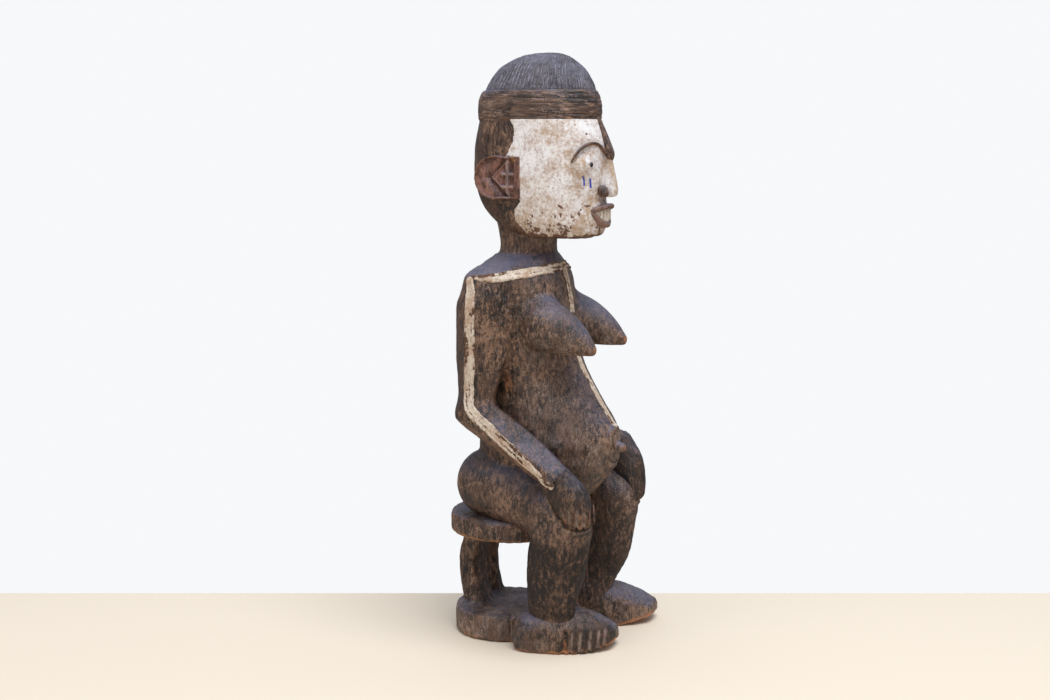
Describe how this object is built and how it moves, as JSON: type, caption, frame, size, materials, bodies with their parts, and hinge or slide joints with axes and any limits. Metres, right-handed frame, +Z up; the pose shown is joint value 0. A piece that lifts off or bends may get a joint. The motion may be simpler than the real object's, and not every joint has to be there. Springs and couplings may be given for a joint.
{
  "type": "fertility doll",
  "caption": "Carved wooden female figure sitting on a round stool, hands on the knees, with a white kaolin face and white kaolin stripes.",
  "frame": {"origin": "centre of the stool base's underside, on the surface the figure stands on", "axes": "+Z up, the figure faces -Y, its left side is +X"},
  "size_m": [0.1902, 0.1967, 0.607],
  "materials": {
    "dark_wood": "dark brown-black oiled patina with a dull sheen, worn to orange-brown on edges and tips",
    "stool_wood": "dark brown wood, drier and greyer than the figure",
    "ear_wood": "red-brown bare wood in the hollow of the ear",
    "face_kaolin": "thin matte white kaolin wash, stained brown and flaked at its edges",
    "stripe_kaolin": "matte white kaolin rubbed into ridged stripes",
    "tooth_white": "matte whitened wood",
    "pupil_black": "matte black"
  },
  "bodies": {
    "root": {"stool_base": "stool_wood", "stool_post_right": "stool_wood", "stool_post_left": "stool_wood", "stool_seat": "stool_wood", "foot_right": "dark_wood", "foot_left": "dark_wood", "shin_right": "dark_wood", "shin_left": "dark_wood", "thigh_right": "dark_wood", "thigh_left": "dark_wood", "torso": "dark_wood", "navel": "dark_wood", "breast_right": "dark_wood", "breast_left": "dark_wood", "neck": "dark_wood", "upper_arm_right": "dark_wood", "upper_arm_left": "dark_wood", "forearm_right": "dark_wood", "forearm_left": "dark_wood", "hand_right": "dark_wood", "hand_left": "dark_wood", "head": "dark_wood", "headband": "dark_wood", "hair_cap": "dark_wood", "ear_right": "ear_wood", "ear_left": "ear_wood", "face_kaolin": "face_kaolin", "forehead_ridge": "dark_wood", "brow_right": "dark_wood", "brow_left": "dark_wood", "nose": "face_kaolin", "nostril_right": "dark_wood", "nostril_left": "dark_wood", "pupil_right": "pupil_black", "pupil_left": "pupil_black", "upper_lip": "dark_wood", "lower_lip": "dark_wood", "teeth": "tooth_white", "shoulder_stripe": "stripe_kaolin", "chest_stripe": "stripe_kaolin", "arm_stripe_right": "stripe_kaolin", "arm_stripe_left": "stripe_kaolin"}
  },
  "joints": []
}
